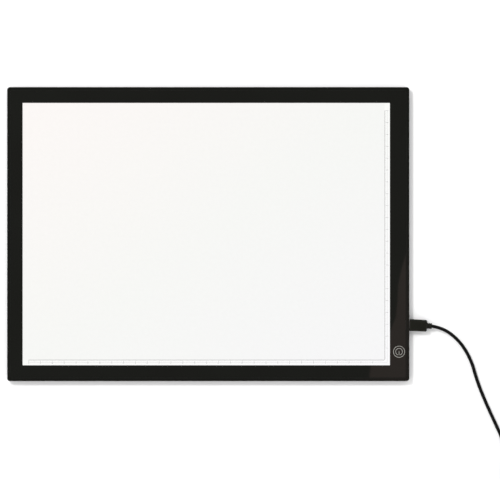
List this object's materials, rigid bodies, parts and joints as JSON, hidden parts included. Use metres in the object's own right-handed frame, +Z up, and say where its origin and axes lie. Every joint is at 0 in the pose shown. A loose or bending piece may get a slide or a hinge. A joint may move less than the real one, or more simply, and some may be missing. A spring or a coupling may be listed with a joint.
{
  "type": "light box",
  "caption": "Slim LED light pad for tracing: black bordered lit window with scales along two edges, touch button, and a plug-in USB power lead.",
  "frame": {"origin": "middle of the pad's footprint, on the table under its rubber feet", "axes": "+X along the pad's long side to the side with the power socket, +Y away from the person drawing, +Z up out of the lit face"},
  "size_m": [0.4692, 0.3461, 0.0126],
  "materials": {
    "cover_plastic": "black moulded ABS, polished rim and finely textured underside",
    "border_black": "glossy black screen print",
    "opal_acrylic": "milky acrylic, lit from behind",
    "guide_acrylic": "clear polished acrylic with printed dots below",
    "white_film": "white polyester film",
    "adhesive": "double-sided tape",
    "strip_board": "white solder mask",
    "led_resin": "white package with yellow phosphor",
    "green_board": "green solder mask over glass fibre",
    "chip_resin": "moulded black resin",
    "capacitor_body": "tan ceramic with tinned ends",
    "resistor_body": "black glaze with tinned ends",
    "stamped_steel": "nickel-plated sheet",
    "gold_contact": "gold flash",
    "black_insulator": "glass-filled nylon",
    "white_insulator": "moulded white insulator",
    "conductive_foam": "foam wrapped in conductive cloth",
    "solder": "bright tin solder",
    "red_pvc": "lead insulation",
    "black_pvc": "lead insulation",
    "foot_rubber": "soft black rubber",
    "jacket": "satin black cable jacket",
    "plug_resin": "soft black moulding",
    "tie_plastic": "flat plastic over wire",
    "scale_ink": "thin screen print of the centimetre scales",
    "mark_ink": "thin screen print of the touch mark"
  },
  "bodies": {
    "pad": {"back_cover": "cover_plastic", "front_panel": "opal_acrylic", "border_print": "border_black", "panel_tape": "adhesive", "reflector_sheet": "white_film", "light_guide": "guide_acrylic", "diffuser_film": "white_film", "led_strip_board": "strip_board", "led_strip_tape": "adhesive", "leds": "led_resin", "control_board": "green_board", "board_tape": "adhesive", "touch_foam": "conductive_foam", "touch_chip": "chip_resin", "dimmer_transistor": "chip_resin", "board_capacitors": "capacitor_body", "board_resistors": "resistor_body", "socket_shell": "stamped_steel", "socket_tongue": "black_insulator", "socket_contacts": "gold_contact", "lead_positive": "red_pvc", "lead_negative": "black_pvc", "solder_joints": "solder", "lead_tapes": "adhesive", "rubber_feet": "foot_rubber"},
    "usb_cable": {"plug_shell": "stamped_steel", "plug_latches": "stamped_steel", "plug_insert": "black_insulator", "plug_contacts": "gold_contact", "plug_moulding": "plug_resin", "plug_strain_relief": "plug_resin", "cable_run": "jacket", "cable_tail": "jacket", "cable_coil": "jacket", "cable_ties": "tie_plastic", "usb_a_strain_relief": "plug_resin", "usb_a_moulding": "plug_resin", "usb_a_shell": "stamped_steel", "usb_a_insert": "white_insulator", "usb_a_contacts": "gold_contact"}
  },
  "joints": [
    {"name": "plug_pull", "type": "slide", "parent": "pad", "child": "usb_cable", "axis": [1, 0, 0], "range_m": [0, 0.008]}
  ]
}
